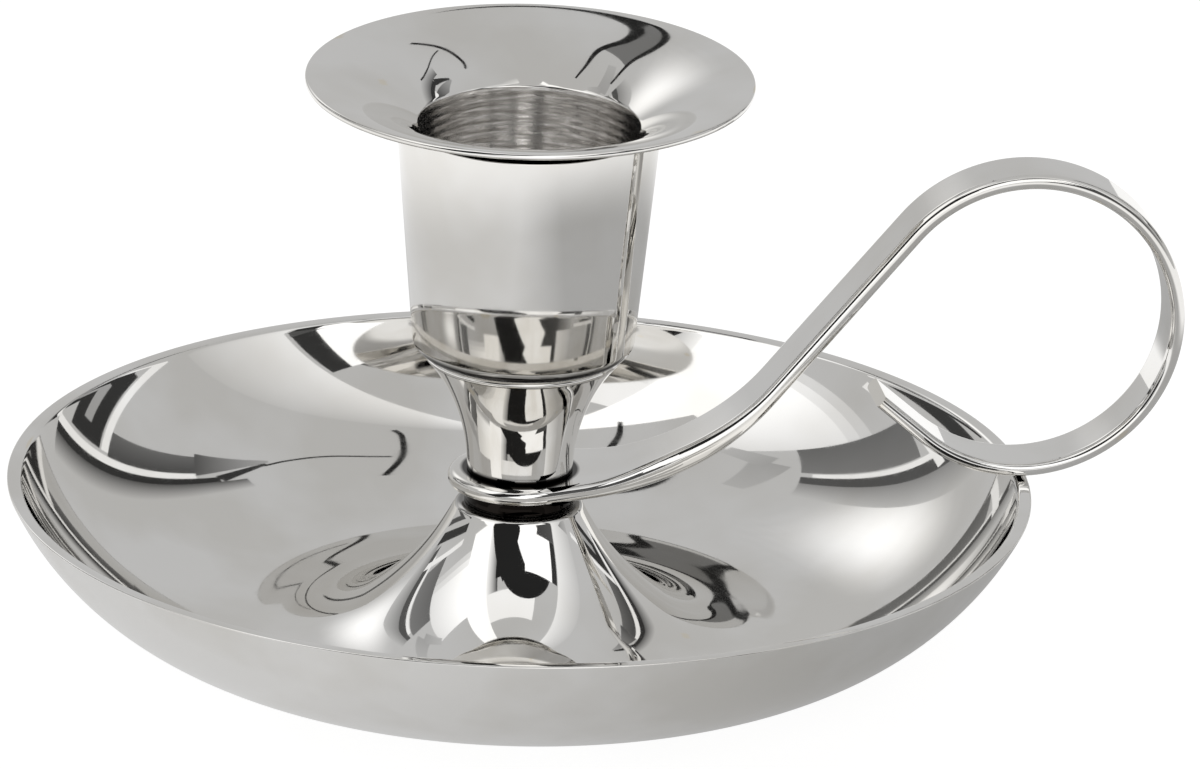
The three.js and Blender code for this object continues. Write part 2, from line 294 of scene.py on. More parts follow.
@dataclass(frozen=True)
class TurnedMetal:
    """Brass left as it came off the lathe under a thin wash of plate.

    The tool leaves a coarse spiral with torn streaks that run round the bore and over its floor, so bright
    and dull rings alternate and reflections break up into upright bars.
    """

    name: str = "turned bore metal"
    bright: str = "#fbfaf9"
    dull: str = "#b4b1ac"
    roughness: Span = (0.05, 0.22)
    pitch_mm: float = 1.0
    pitch_depth_mm: float = 0.05
    pitch_strength: float = 0.25
    pitch_waver: float = 1.2
    streak_mm: float = 0.35
    streaks_per_turn: float = 22.0
    streak_range: Span = (0.38, 0.7)
    gloss_range: Span = (0.3, 0.7)
    torn_depth_mm: float = 0.02
    torn_strength: float = 0.2

    def material(self, axis: float) -> Finish:
        """Builds the finish.

        Args:
            axis: The stem's place along X, in metres.

        Returns:
            The material.
        """
        material, tree = blank_material(self.name)
        add = partial(add_node, tree)
        split, out = about_axis(tree, add("ShaderNodeTexCoord").outputs["Object"], axis)
        across, deep = split.outputs["X"], split.outputs["Y"]
        angle = add("ShaderNodeMath", deep, across, settings={"operation": "ARCTAN2"})
        # The tool runs up the wall and out over the floor, so height and radius together measure its way
        feed = add("ShaderNodeMath", split.outputs["Z"], out, settings={"operation": "ADD"})
        round_way = add("ShaderNodeMath", angle.outputs[0], self.streaks_per_turn / (2 * math.pi),
                        settings={"operation": "MULTIPLY"})
        up_way = add("ShaderNodeMath", feed.outputs[0], 1 / (self.streak_mm * MM),
                     settings={"operation": "MULTIPLY"})
        unrolled = add("ShaderNodeCombineXYZ", round_way.outputs[0], up_way.outputs[0])
        streaks = add("ShaderNodeTexNoise", Vector=unrolled.outputs[0], Scale=1.0, Detail=3.0)
        along = add("ShaderNodeCombineXYZ", across, deep, feed.outputs[0])
        rings = add("ShaderNodeTexWave", settings={"wave_type": "BANDS", "bands_direction": "Z"},
                    Vector=along.outputs[0], Scale=WAVE_LENGTH / (self.pitch_mm * MM),
                    Distortion=self.pitch_waver, Detail=2.0)
        dulled = add("ShaderNodeMapRange", streaks.outputs[0], *self.streak_range, 0.0, 1.0)
        gloss = add("ShaderNodeMapRange", streaks.outputs[0], *self.gloss_range, *self.roughness)
        colour = add("ShaderNodeMix", dulled.outputs[0], settings={"data_type": "RGBA"},
                     i6=linear(self.bright), i7=linear(self.dull))
        spiral = add("ShaderNodeBump", Strength=self.pitch_strength, Distance=self.pitch_depth_mm * MM,
                     Height=rings.outputs[0])
        torn = add("ShaderNodeBump", Strength=self.torn_strength, Distance=self.torn_depth_mm * MM,
                   Height=streaks.outputs[0], Normal=spiral.outputs[0])
        shader = add("ShaderNodeBsdfPrincipled", Base_Color=colour.outputs[2], Metallic=1.0,
                     Roughness=gloss.outputs[0], Normal=torn.outputs[0])
        add("ShaderNodeOutputMaterial", shader.outputs[0])
        return material


@dataclass(frozen=True)
class FastenerSteel:
    """Mild steel, barrel-plated with zinc.

    The plate is satin grey with a faint blue cast, and tumbling leaves it mottled and bruised.
    """

    name: str = "zinc plated steel"
    bright: str = "#b9bbbd"
    dull: str = "#8f9295"
    worn: str = "#cfcfce"
    roughness: Span = (0.28, 0.46)
    mottle_mm: float = 1.3
    mottle_range: Span = (0.35, 0.65)
    gloss_range: Span = (0.3, 0.7)
    edge_range: Span = (0.53, 0.65)
    edge_wear: float = 0.8
    bruise_mm: float = 0.25
    bruise_depth_mm: float = 0.02
    bruise_strength: float = 0.3

    def material(self) -> Finish:
        """Builds the finish.

        Returns:
            The material.
        """
        material, tree = blank_material(self.name)
        add = partial(add_node, tree)
        place = add("ShaderNodeTexCoord").outputs["Object"]
        mottle = add("ShaderNodeTexNoise", Vector=place, Scale=1 / (self.mottle_mm * MM), Detail=3.0)
        bruises = add("ShaderNodeTexNoise", Vector=place, Scale=1 / (self.bruise_mm * MM), Detail=2.0)
        shape = add("ShaderNodeNewGeometry")
        wear = add("ShaderNodeMapRange", shape.outputs["Pointiness"], *self.edge_range, 0.0, self.edge_wear)
        dulled = add("ShaderNodeMapRange", mottle.outputs[0], *self.mottle_range, 0.0, 1.0)
        gloss = add("ShaderNodeMapRange", mottle.outputs[0], *self.gloss_range, *self.roughness)
        base = add("ShaderNodeMix", dulled.outputs[0], settings={"data_type": "RGBA"},
                   i6=linear(self.bright), i7=linear(self.dull))
        colour = add("ShaderNodeMix", wear.outputs[0], settings={"data_type": "RGBA"}, i6=base.outputs[2],
                     i7=linear(self.worn))
        dents = add("ShaderNodeBump", Strength=self.bruise_strength, Distance=self.bruise_depth_mm * MM,
                    Height=bruises.outputs[0])
        shader = add("ShaderNodeBsdfPrincipled", Base_Color=colour.outputs[2], Metallic=1.0,
                     Roughness=gloss.outputs[0], Normal=dents.outputs[0])
        add("ShaderNodeOutputMaterial", shader.outputs[0])
        return material


class Turning:
    """A profile drawn point by point in the plane of radius and height, then turned about the stem's axis.

    Radii, heights and fillets are in millimetres. A fillet is the length by which a corner is rounded
    along both of its sides.
    """

    fillet_steps: int = 5

    def __init__(self) -> None:
        """Starts an empty profile on the stem's axis."""
        self.axis = stem_axis()
        self.mesh = bmesh.new()
        self.first: Corner | None = None
        self.tip: Corner | None = None
        self.corners: list[tuple[Corner, float]] = []

    def spot(self, radius: float, height: float) -> Vector:
        """Gives a profile point as a place in the frame."""
        return Vector((self.axis + radius * MM, 0.0, height * MM))

    def start(self, radius: float, height: float) -> None:
        """Begins the profile at a point."""
        self.first = self.tip = self.mesh.verts.new(self.spot(radius, height))

    def line(self, radius: float, height: float, fillet: float = 0.0) -> None:
        """Draws a straight line on to a point.

        Args:
            radius: The point's distance from the axis.
            height: The point's height over the table.
            fillet: The rounding of the corner there.
        """
        place = self.spot(radius, height)
        if (place - self.tip.co).length > SAME_PLACE:
            self.tip = bmesh.ops.extrude_vert_indiv(self.mesh, verts=[self.tip])["verts"][0]
            self.tip.co = place
        self.corners.append((self.tip, fillet))

    def bend(self, centre: Span, turn: float, steps: int, fillet: float = 0.0) -> None:
        """Draws an arc on from the last point.

        Args:
            centre: Radius and height of the arc's centre.
            turn: Angle in radians, positive from the outward direction towards the upward one.
            steps: Number of pieces the arc is made of.
            fillet: The rounding of the corner at its end.
        """
        made = bmesh.ops.spin(self.mesh, geom=[self.tip], cent=self.spot(*centre), axis=(0, -1, 0),
                              dvec=(0, 0, 0), angle=turn, steps=steps, use_merge=False, use_duplicate=False)
        self.tip = next(v for v in made["geom_last"] if isinstance(v, Corner))
        self.corners.append((self.tip, fillet))

    def turn(self, facets: int, closed: bool = True) -> Shape:
        """Rounds the corners and turns the profile through a full circle.

        Args:
            facets: Number of facets round the circle.
            closed: Whether the profile closes on itself; otherwise it begins and ends on the axis.

        Returns:
            The closed surface.
        """
        if closed:
            bmesh.ops.contextual_create(self.mesh, geom=[self.tip, self.first])
        for vertex, fillet in self.corners:
            if fillet:
                bmesh.ops.bevel(self.mesh, geom=[vertex], offset=fillet * MM, offset_type="OFFSET",
                                segments=self.fillet_steps, profile=0.5, affect="VERTICES", material=-1)
        bmesh.ops.spin(self.mesh, geom=self.mesh.verts[:] + self.mesh.edges[:], cent=(self.axis, 0, 0),
                       axis=(0, 0, 1), dvec=(0, 0, 0), angle=2 * math.pi, steps=facets, use_merge=True,
                       use_duplicate=False)
        bmesh.ops.remove_doubles(self.mesh, verts=self.mesh.verts, dist=SAME_PLACE)
        bmesh.ops.recalc_face_normals(self.mesh, faces=self.mesh.faces)
        return self.mesh


class Piece:
    """A finished piece of the object: its mesh, its finish, its body and the solid that it stands for."""

    crease: float = math.radians(40)

    def __init__(self, node: str, body: Body, slot: Slot, mesh: Shape, *finishes: Finish) -> None:
        """Puts a bmesh into the scene, with edges sharper than the crease angle left sharp.

        Args:
            node: The solid that this piece stands for; the piece is named after it.
            body: The body that it rides on.
            slot: The record's material slot; not used.
            mesh: The shape, which is used up.
            *finishes: The materials, in the order of the faces' material numbers.
        """
        for edge in mesh.edges:
            edge.smooth = len(edge.link_faces) == 2 and edge.calc_face_angle() < self.crease
        for face in mesh.faces:
            face.smooth = True
        self.object = set_up(node + "_dressed", mesh, *finishes)
        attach(self.object, body.value)
        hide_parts(node)
        LOG.info("%s: %d faces", node, len(self.object.data.polygons))


@dataclass
class DripPan:
    """The dished pan, drawn up in the middle into a hollow trumpet foot with a flat top."""

    radius: float = 53.2
    height: float = 16.8
    sheet: float = 1.3
    base_ring: float = 1.6
    foot_height: float = 15.25
    foot_top: float = 6.7
    foot_edge: float = 0.8
    flare_bend: float = 28.0
    fillet_bend: float = 15.6
    blend: float = math.radians(35)
    hole: float = BOLT_HOLE
    rim_round: float = 0.3
    edge_steps: int = 10
    flare_steps: int = 40
    fillet_steps: int = 30
    dish_steps: int = 56
    hollow_steps: int = 24
    facets: int = 256

    def __post_init__(self) -> None:
        """Works out where the foot's flare ends, and the dish up to the middle of its rim."""
        self.blend_height = self.sheet + self.fillet_bend * (1 - math.cos(self.blend))
        climb = (self.foot_height - self.foot_edge - self.blend_height) / self.flare_bend
        self.flare_top = math.acos((math.cos(self.blend) - climb) / (1 + self.foot_edge / self.flare_bend))
        self.floor = (self.foot_top + self.flare_bend * (math.sin(self.flare_top) - math.sin(self.blend))
                      + self.fillet_bend * math.sin(self.blend))
        self.wall = self.floor + self.base_ring
        self.wall_bend = ((self.radius - self.wall) ** 2 + self.height ** 2) / (2 * self.height)
        self.dish_turn = math.acos((self.wall_bend - self.height) / (self.wall_bend - self.sheet))
        rim_inside = self.wall + (self.wall_bend - self.sheet) * math.sin(self.dish_turn)
        self.rim_middle = (rim_inside + self.radius) / 2

    def profile(self) -> Turning:
        """Draws the section of the sheet.

        Returns:
            The profile, ready to be turned.
        """
        top = self.flare_top
        flare = (self.foot_top + self.flare_bend * math.sin(top),
                 self.blend_height + self.flare_bend * math.cos(self.blend))
        fillet = (self.floor, self.sheet + self.fillet_bend)
        dish = (self.wall, self.wall_bend)
        outer = math.acos((self.wall_bend - self.height) / self.wall_bend)
        hollow_top = self.foot_height - self.sheet
        hollow = math.acos((flare[1] - hollow_top) / (self.flare_bend + self.sheet))
        edge = (self.foot_top - self.foot_edge * math.sin(top), self.foot_height - self.foot_edge)
        draft = Turning()
        draft.start(self.hole, self.foot_height)
        draft.line(edge[0], self.foot_height)
        draft.bend(edge, -top, self.edge_steps)
        draft.bend(flare, top - self.blend, self.flare_steps)
        draft.bend(fillet, self.blend, self.fillet_steps)
        draft.line(self.wall, self.sheet)
        draft.bend(dish, self.dish_turn, self.dish_steps, fillet=self.rim_round)
        draft.line(self.radius, self.height, fillet=self.rim_round)
        draft.bend(dish, -outer, self.dish_steps)
        draft.line(self.floor, 0.0)
        draft.bend(fillet, -self.blend, self.hollow_steps)
        draft.bend(flare, self.blend - hollow, self.hollow_steps)
        draft.line(self.hole, hollow_top)
        return draft

    def build(self, plate: Finish) -> None:
        """Turns the pan and dresses it."""
        Piece("drip_pan", Body.STAND, Slot.PLATE, self.profile().turn(self.facets), plate)


@dataclass
class FootSpacer:
    """The short turned spacer between the foot and the handle's eye."""

    radius: float = 5.7
    hole: float = BOLT_HOLE
    edge: float = 0.2
    facets: int = 128

    def build(self, plate: Finish) -> None:
        """Turns the spacer and dresses it.

        Args:
            plate: The finish.
        """
        low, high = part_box("foot_spacer")
        draft = Turning()
        draft.start(self.hole, low.z / MM)
        draft.line(self.radius, low.z / MM, fillet=self.edge)
        draft.line(self.radius, high.z / MM, fillet=self.edge)
        draft.line(self.hole, high.z / MM)
        Piece("foot_spacer", Body.STAND, Slot.PLATE, draft.turn(self.facets), plate)


@dataclass
class StripHandle:
    """One strip: a round eye, a rising bend, a straight, a loop that rests over the pan's rim, and a tail."""

    pan: DripPan
    eye_radius: float = 7.45
    eye_thickness: float = 1.8
    eye_opening: float = math.radians(76)
    eye_facets: int = 72
    hole: float = BOLT_HOLE
    width: float = 6.7
    thickness: float = 1.75
    swell: float = 2.6
    swell_length: float = 10.0
    swell_ease: float = 14.0
    taper_reach: float = 14.65
    root_reach: float = 6.0
    rise_bend: float = 26.5
    rise: float = math.radians(49.6)
    tail: float = math.radians(41)
    tail_length: float = 6.3
    tail_spare: float = 1.0
    tail_thinning: float = 0.004
    rest_thickness: float = 1.5
    rest_gap: float = 0.2
    edge: float = 0.8
    edge_steps: int = 8
    waist_ease: float = 3.0
    waist_steps: int = 6
    cut_pitch: float = 0.6
    cut_snap: float = 1e-4
    face_on: float = 0.9
    facet_gap: float = 0.02

    def __post_init__(self) -> None:
        """Works out the loop that brings the strip down on the rim."""
        low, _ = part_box("handle")
        self.root_height = low.z / MM + self.eye_thickness / 2
        reach = self.pan.rim_middle - self.root_reach
        climb = self.pan.height + self.rest_gap + self.rest_thickness / 2 - self.root_height
        slack = (1 - math.cos(self.rise)) / math.cos(self.rise)
        self.curl = (math.tan(self.rise) * reach - climb - self.rise_bend * slack) / (slack + 2)
        run = (self.rise_bend + self.curl) * math.sin(self.rise)
        self.straight = (reach - run) / math.cos(self.rise)
        self.rest = (self.root_reach + self.rise_bend * self.rise + self.straight
                     + self.curl * (self.rise + math.pi))
        self.length = self.rest + self.curl * self.tail + self.tail_length

    def follow(self, along: float) -> tuple[float, float, float]:
        """Finds a point of the strip's middle line.

        Args:
            along: Distance from the stem's axis, measured along the strip in millimetres.

        Returns:
            Distance from the axis, height, and heading in radians.
        """
        reach, height, heading = 0.0, self.root_height, 0.0
        loop = self.rise + math.pi + self.tail
        bends = [(self.root_reach, 0.0), (self.rise_bend * self.rise, self.rise), (self.straight, 0.0),
                 (self.curl * loop, -loop), (self.tail_length + self.tail_spare, 0.0)]
        left = along
        for length, turn in bends:
            step = min(left, length)
            part = turn * max(step, 0.0) / length
            chord = step if turn == 0 else 2 * length / turn * math.sin(part / 2)
            reach += chord * math.cos(heading + part / 2)
            height += chord * math.sin(heading + part / 2)
            heading += part
            left -= step
            if left <= 0:
                break
        return reach, height, heading

    def gauge(self, along: float) -> float:
        """Finds the strip's thickness.

        Args:
            along: Distance from the stem's axis, measured along the strip in millimetres.

        Returns:
            The thickness in millimetres.
        """
        swell_top = self.root_reach + self.swell_length
        swell_end = swell_top + self.swell_ease
        marks = [(self.root_reach, self.eye_thickness), (swell_top, self.swell), (swell_end, self.thickness),
                 (self.rest, self.rest_thickness)]
        if along <= self.root_reach:
            return self.eye_thickness
        for (a, thick_a), (b, thick_b) in zip(marks, marks[1:]):
            if along <= b:
                part = (along - a) / (b - a)
                return thick_a + (thick_b - thick_a) * part * part * (3 - 2 * part)
        return self.rest_thickness - self.tail_thinning * (along - self.rest)

    def plan(self) -> Shape:
        """Draws the strip's outline flat, with its eye round the origin.

        Returns:
            The outline as one sheet, in millimetres.
        """
        mesh = bmesh.new()
        made = bmesh.ops.create_circle(mesh, cap_ends=False, radius=self.hole, segments=self.eye_facets)
        inner = list({edge for vertex in made["verts"] for edge in vertex.link_edges})
        grown = bmesh.ops.extrude_edge_only(mesh, edges=inner)["geom"]
        rim = [v for v in grown if isinstance(v, Corner)]
        bmesh.ops.scale(mesh, verts=rim, vec=(self.eye_radius / self.hole,) * 3)
        front = sorted((v for v in rim if abs(math.atan2(v.co.y, v.co.x)) < self.eye_opening),
                       key=lambda v: v.co.y)
        waists, ends = [], []
        for vertex in (front[0], front[-1]):
            side = math.copysign(self.width / 2, vertex.co.y)
            waists += bmesh.ops.extrude_vert_indiv(mesh, verts=[vertex])["verts"]
            waists[-1].co = (self.taper_reach, side, 0.0)
            ends += bmesh.ops.extrude_vert_indiv(mesh, verts=[waists[-1]])["verts"]
            ends[-1].co = (self.length + 2 * self.edge, side, 0.0)
        bmesh.ops.contextual_create(mesh, geom=ends)
        arc = set(front)
        outline = [e for e in mesh.edges
                   if not e.link_faces or (len(e.link_faces) == 1 and set(e.verts) <= arc)]
        bmesh.ops.contextual_create(mesh, geom=outline)
        bmesh.ops.bevel(mesh, geom=waists, offset=self.waist_ease, offset_type="OFFSET",
                        segments=self.waist_steps, profile=0.5, affect="VERTICES", material=-1)
        return mesh

    def flat(self) -> Shape:
        """Thickens the outline, rounds its edges in steps and cuts it across for bending.

        Returns:
            The flat strip, in millimetres.
        """
        mesh = self.plan()
        grown = bmesh.ops.extrude_face_region(mesh, geom=mesh.faces[:])["geom"]
        bmesh.ops.translate(mesh, verts=[v for v in grown if isinstance(v, Corner)],
                            vec=(0, 0, self.thickness - 2 * self.edge))
        bmesh.ops.recalc_face_normals(mesh, faces=mesh.faces)
        for side in (1, -1):
            sheet = [f for f in mesh.faces if f.normal.z * side > self.face_on]
            before = 0.0
            for step in range(1, self.edge_steps + 1):
                angle = math.pi / 2 * step / self.edge_steps
                bmesh.ops.inset_region(mesh, faces=sheet, use_boundary=True, use_even_offset=True,
                                       thickness=self.edge * (math.cos(before) - math.cos(angle)),
                                       depth=self.edge * (math.sin(angle) - math.sin(before)))
                before = angle
        bmesh.ops.translate(mesh, verts=mesh.verts, vec=(0, 0, self.edge))
        cuts = int(self.length / self.cut_pitch)
        for cut in range(int(cuts * self.root_reach / self.length), cuts + 1):
            bmesh.ops.bisect_plane(mesh, geom=mesh.verts[:] + mesh.edges[:] + mesh.faces[:],
                                   dist=self.cut_snap, plane_co=(self.length * cut / cuts, 0, 0),
                                   plane_no=(1, 0, 0), clear_outer=cut == cuts)
        bmesh.ops.contextual_create(mesh, geom=[e for e in mesh.edges if e.is_boundary])
        bmesh.ops.recalc_face_normals(mesh, faces=mesh.faces)
        return mesh

    def build(self, plate: Finish) -> None:
        """Bends the flat strip to its path and dresses it.

        Args:
            plate: The finish.
        """
        axis = stem_axis()
        mesh = self.flat()
        for vertex in mesh.verts:
            along, side, level = vertex.co
            reach, height, heading = self.follow(along)
            # The smooth loop bulges out between the solid's facets, so the strip is thinner by that much
            rise = (level / self.thickness - 0.5) * (self.gauge(along) - 2 * self.facet_gap)
            vertex.co = (axis + (reach - rise * math.sin(heading)) * MM, side * MM,
                         (height + rise * math.cos(heading)) * MM)
        piece = Piece("handle", Body.STAND, Slot.PLATE, mesh, plate)
        even = piece.object.modifiers.new("flat faces stay flat", "WEIGHTED_NORMAL")
        even.keep_sharp = True


@dataclass
class Stem:
    """The flared stem, with a rounded ledge that carries the cup."""

    radius: float = 5.5
    hole: float = BOLT_HOLE
    ledge_radius: float = 10.3
    ledge: float = 0.7
    ledge_step: float = 0.2
    edge: float = 0.12
    flare_steps: int = 40
    ledge_steps: int = 16
    facets: int = 192

    def build(self, plate: Finish) -> None:
        """Turns the stem and dresses it.

        Args:
            plate: The finish.
        """
        low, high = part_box("stem")
        bottom, top = low.z / MM, high.z / MM
        neck = top - self.ledge
        flare = self.ledge_radius - self.ledge_step - self.radius
        rise = neck - bottom
        bend = (flare ** 2 + rise ** 2) / (2 * flare)
        half = self.ledge / 2
        draft = Turning()
        draft.start(self.hole, bottom)
        draft.line(self.radius, bottom, fillet=self.edge)
        draft.bend((self.radius + bend, bottom), -math.asin(rise / bend), self.flare_steps)
        draft.line(self.ledge_radius - half, neck)
        draft.bend((self.ledge_radius - half, neck + half), math.pi, self.ledge_steps)
        draft.line(self.hole, top)
        Piece("stem", Body.STAND, Slot.PLATE, draft.turn(self.facets), plate)


@dataclass
class CandleNozzle:
    """The lift-out nozzle: a bell-shaped drip collar brazed to a tapered sleeve."""

    mouth: float = 11.5
    mouth_edge: float = 0.12
    sleeve_wall: float = 0.9
    taper: float = SOCKET_TAPER
    collar_radius: float = 23.25
    collar_rise: float = 5.0
    rim_slope: float = math.radians(8)
    collar_sheet: float = 0.7
    neck: float = 1.0
    sleeve_floor: float = 1.0
    sleeve_edge: float = 0.3
    seat_corner: float = 0.4
    rim_round: float = 0.3
    bell_steps: int = 40
    collar_facets: int = 192
    sleeve_facets: int = 128

    def __post_init__(self) -> None:
        """Works out the arc of the bell from its mouth, its rim and the slope there."""
        _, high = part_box("drip_collar")
        self.top = high.z / MM
        span = self.collar_radius - self.mouth
        self.mouth_slope = 2 * math.atan2(self.collar_rise, span) - self.rim_slope
        self.bend = span / (math.sin(self.mouth_slope) - math.sin(self.rim_slope))
        self.centre = (self.collar_radius + self.bend * math.sin(self.rim_slope),
                       self.top - self.bend * math.cos(self.rim_slope))

    def underside(self, radius: float) -> float:
        """Gives the height of the bell's underside at a distance from the axis."""
        under_bend, aside = self.bend - self.collar_sheet, self.centre[0] - radius
        return self.centre[1] + math.sqrt(under_bend ** 2 - aside ** 2)

    def collar(self, plate: Finish, turned: Finish) -> None:
        """Turns the collar and dresses it; its bore is left as turned.

        Args:
            plate: The finish outside.
            turned: The finish of the bore.
        """
        low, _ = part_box("drip_collar")
        mouth_top = self.top - self.collar_rise
        neck_radius = self.mouth + self.sleeve_wall
        neck_slope = math.asin((self.centre[0] - neck_radius) / (self.bend - self.collar_sheet))
        bore = self.mouth - self.neck * math.tan(self.taper)
        draft = Turning()
        draft.start(bore, low.z / MM)
        draft.line(self.mouth, mouth_top, fillet=self.mouth_edge)
        draft.bend(self.centre, self.rim_slope - self.mouth_slope, self.bell_steps, fillet=self.rim_round)
        draft.line(self.collar_radius + self.collar_sheet * math.sin(self.rim_slope),
                   self.top - self.collar_sheet * math.cos(self.rim_slope), fillet=self.rim_round)
        draft.bend(self.centre, neck_slope - self.rim_slope, self.bell_steps)
        draft.line(neck_radius, low.z / MM)
        mesh = draft.turn(self.collar_facets)
        for face in mesh.faces:
            middle = face.calc_center_median() - Vector((draft.axis, 0, 0))
            if middle.xy.length < self.mouth * MM and middle.z < mouth_top * MM:
                face.material_index = 1
        Piece("drip_collar", Body.NOZZLE, Slot.PLATE, mesh, plate, turned)

    def sleeve(self, turned: Finish) -> None:
        """Turns the sleeve and dresses it.

        Args:
            turned: The finish.
        """
        low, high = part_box("nozzle_sleeve")
        bottom, top = low.z / MM, high.z / MM
        slope = math.tan(self.taper)
        mouth_top = top + self.neck
        seat = bottom + self.sleeve_floor
        draft = Turning()
        draft.start(0.0, bottom)
        draft.line(self.mouth - (mouth_top - bottom) * slope + self.sleeve_wall, bottom,
                   fillet=self.sleeve_edge)
        draft.line(self.mouth - self.neck * slope + self.sleeve_wall, top)
        draft.line(self.mouth - self.neck * slope, top)
        draft.line(self.mouth - (mouth_top - seat) * slope, seat, fillet=self.seat_corner)
        draft.line(0.0, seat)
        mesh = draft.turn(self.sleeve_facets, closed=False)
        Piece("nozzle_sleeve", Body.NOZZLE, Slot.TURNED, mesh, turned)

    def build(self, plate: Finish, turned: Finish) -> None:
        """Builds both pieces."""
        self.collar(plate, turned)
        self.sleeve(turned)


@dataclass
class CandleCup:
    """The tapered cup with a rounded bottom corner and a rim cut to the slope of the collar above it."""

    nozzle: CandleNozzle
    rim_radius: float = 13.75
    wall: float = 0.95
    corner: float = 1.6
    taper: float = SOCKET_TAPER
    hole: float = BOLT_HOLE
    rim_edge: float = 0.15
    corner_steps: int = 16
    inner_steps: int = 12
    facets: int = 192

    def build(self, plate: Finish) -> None:
        """Turns the cup and dresses it.

        Args:
            plate: The finish.
        """
        low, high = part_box("candle_cup")
        bottom, top = low.z / MM, high.z / MM
        slope = math.tan(self.taper)
        foot = self.rim_radius - (top - bottom) * slope
        centre = (foot + self.corner * slope - self.corner / math.cos(self.taper), bottom + self.corner)
        inner = self.corner - self.wall
        rim_drop = (self.nozzle.underside(self.rim_radius)
                    - self.nozzle.underside(self.rim_radius - self.wall))
        rim_inside = self.rim_radius - self.wall / math.cos(self.taper) - rim_drop * slope
        draft = Turning()
        draft.start(self.hole, bottom)
        draft.line(centre[0], bottom)
        draft.bend(centre, math.pi / 2 - self.taper, self.corner_steps)
        draft.line(self.rim_radius, top, fillet=self.rim_edge)
        draft.line(rim_inside, top - rim_drop, fillet=self.rim_edge)
        draft.line(centre[0] + inner * math.cos(self.taper), centre[1] - inner * math.sin(self.taper))
        draft.bend(centre, self.taper - math.pi / 2, self.inner_steps)
        draft.line(self.hole, bottom + self.wall)
        Piece("candle_cup", Body.STAND, Slot.PLATE, draft.turn(self.facets), plate)


@dataclass(frozen=True)
class Card:
    """A sheet of the light tent between directions, in degrees to the right of straight away and up."""

    left: float
    right: float
    low: float
    high: float
    light: float
    light_right: float | None = None
    soft: bool = False


@dataclass(frozen=True)
class Seam:
    """A straight batten of the light tent between two directions, with its widths, all in degrees."""

    begin: Span
    end: Span
    width: float
    light: float
    width_end: float | None = None
    light_end: float | None = None


@dataclass(frozen=True)
class Boom:
    """A slim arm over the object, through places to the right of the stem and behind it, in millimetres."""

    places: tuple[Span, ...]
    widths: Span
    light: float


@dataclass(frozen=True)
class Disc:
    """An oval sheet of the light tent: the direction of its middle and its half sizes, in degrees."""

    right: float
    up: float
    wide: float
    tall: float
    light: float


